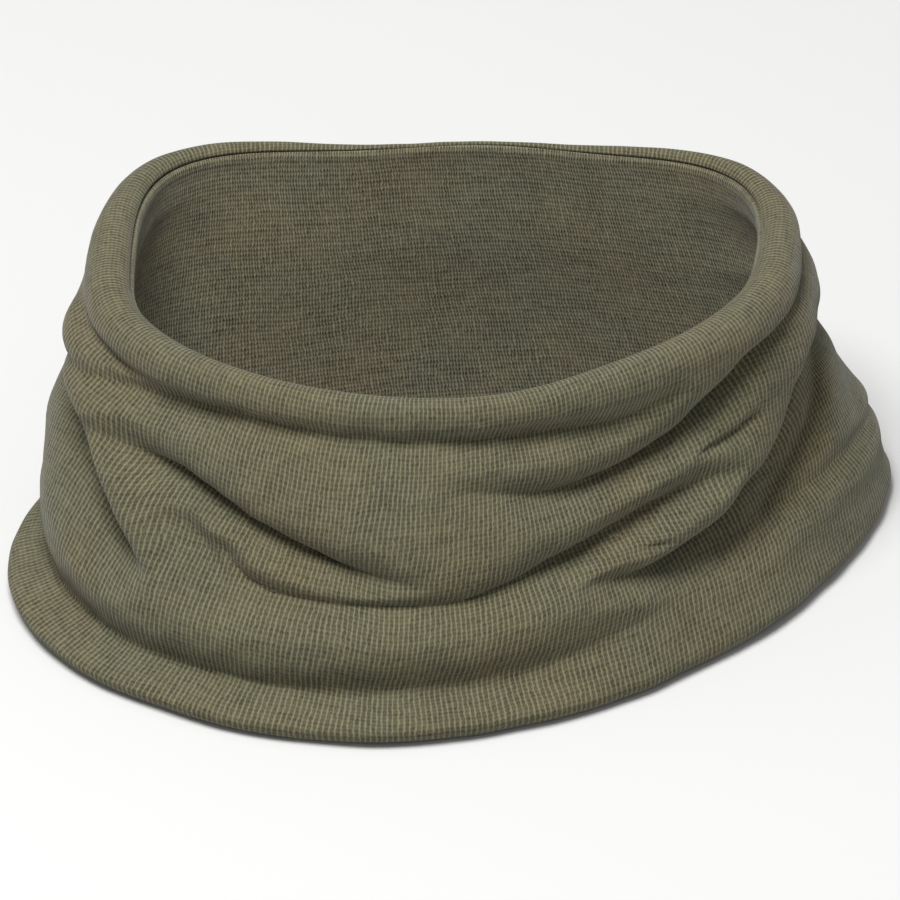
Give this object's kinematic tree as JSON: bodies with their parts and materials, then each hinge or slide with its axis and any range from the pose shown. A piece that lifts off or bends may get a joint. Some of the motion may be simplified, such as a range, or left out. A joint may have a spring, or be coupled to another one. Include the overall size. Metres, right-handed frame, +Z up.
{
  "type": "neck gaiter",
  "caption": "Two-ply rib-knit neck gaiter, a soft tube open at both ends, standing on its hem with its front scrunched into folds.",
  "frame": {"origin": "on the floor, at the middle of the box round the whole gaiter", "axes": "+Z up the neck, -Y to the front where the folds are, +X to the right of someone looking at the front"},
  "size_m": [0.1984, 0.14, 0.0664],
  "materials": {
    "outer_knit": "fine rib knit, matte",
    "lining_knit": "fine rib knit, matte",
    "thread": "overlocked sewing thread",
    "ribbon": "woven satin ribbon, blank"
  },
  "bodies": {
    "gaiter": {"outer_shell": "outer_knit", "inner_lining": "lining_knit", "rim_seam": "thread", "hem_seam": "thread", "hem_closing_stitches": "thread", "shell_side_seam": "thread", "lining_side_seam": "thread", "label_tack": "thread"},
    "label": {"care_label": "ribbon"}
  },
  "joints": [
    {"name": "label_flap", "type": "hinge", "parent": "gaiter", "child": "label", "pos_m": [-0.07693, 0.02931, 0.034], "axis": [-0.3071, -0.9517, 0], "range_deg": [0, 120]}
  ]
}
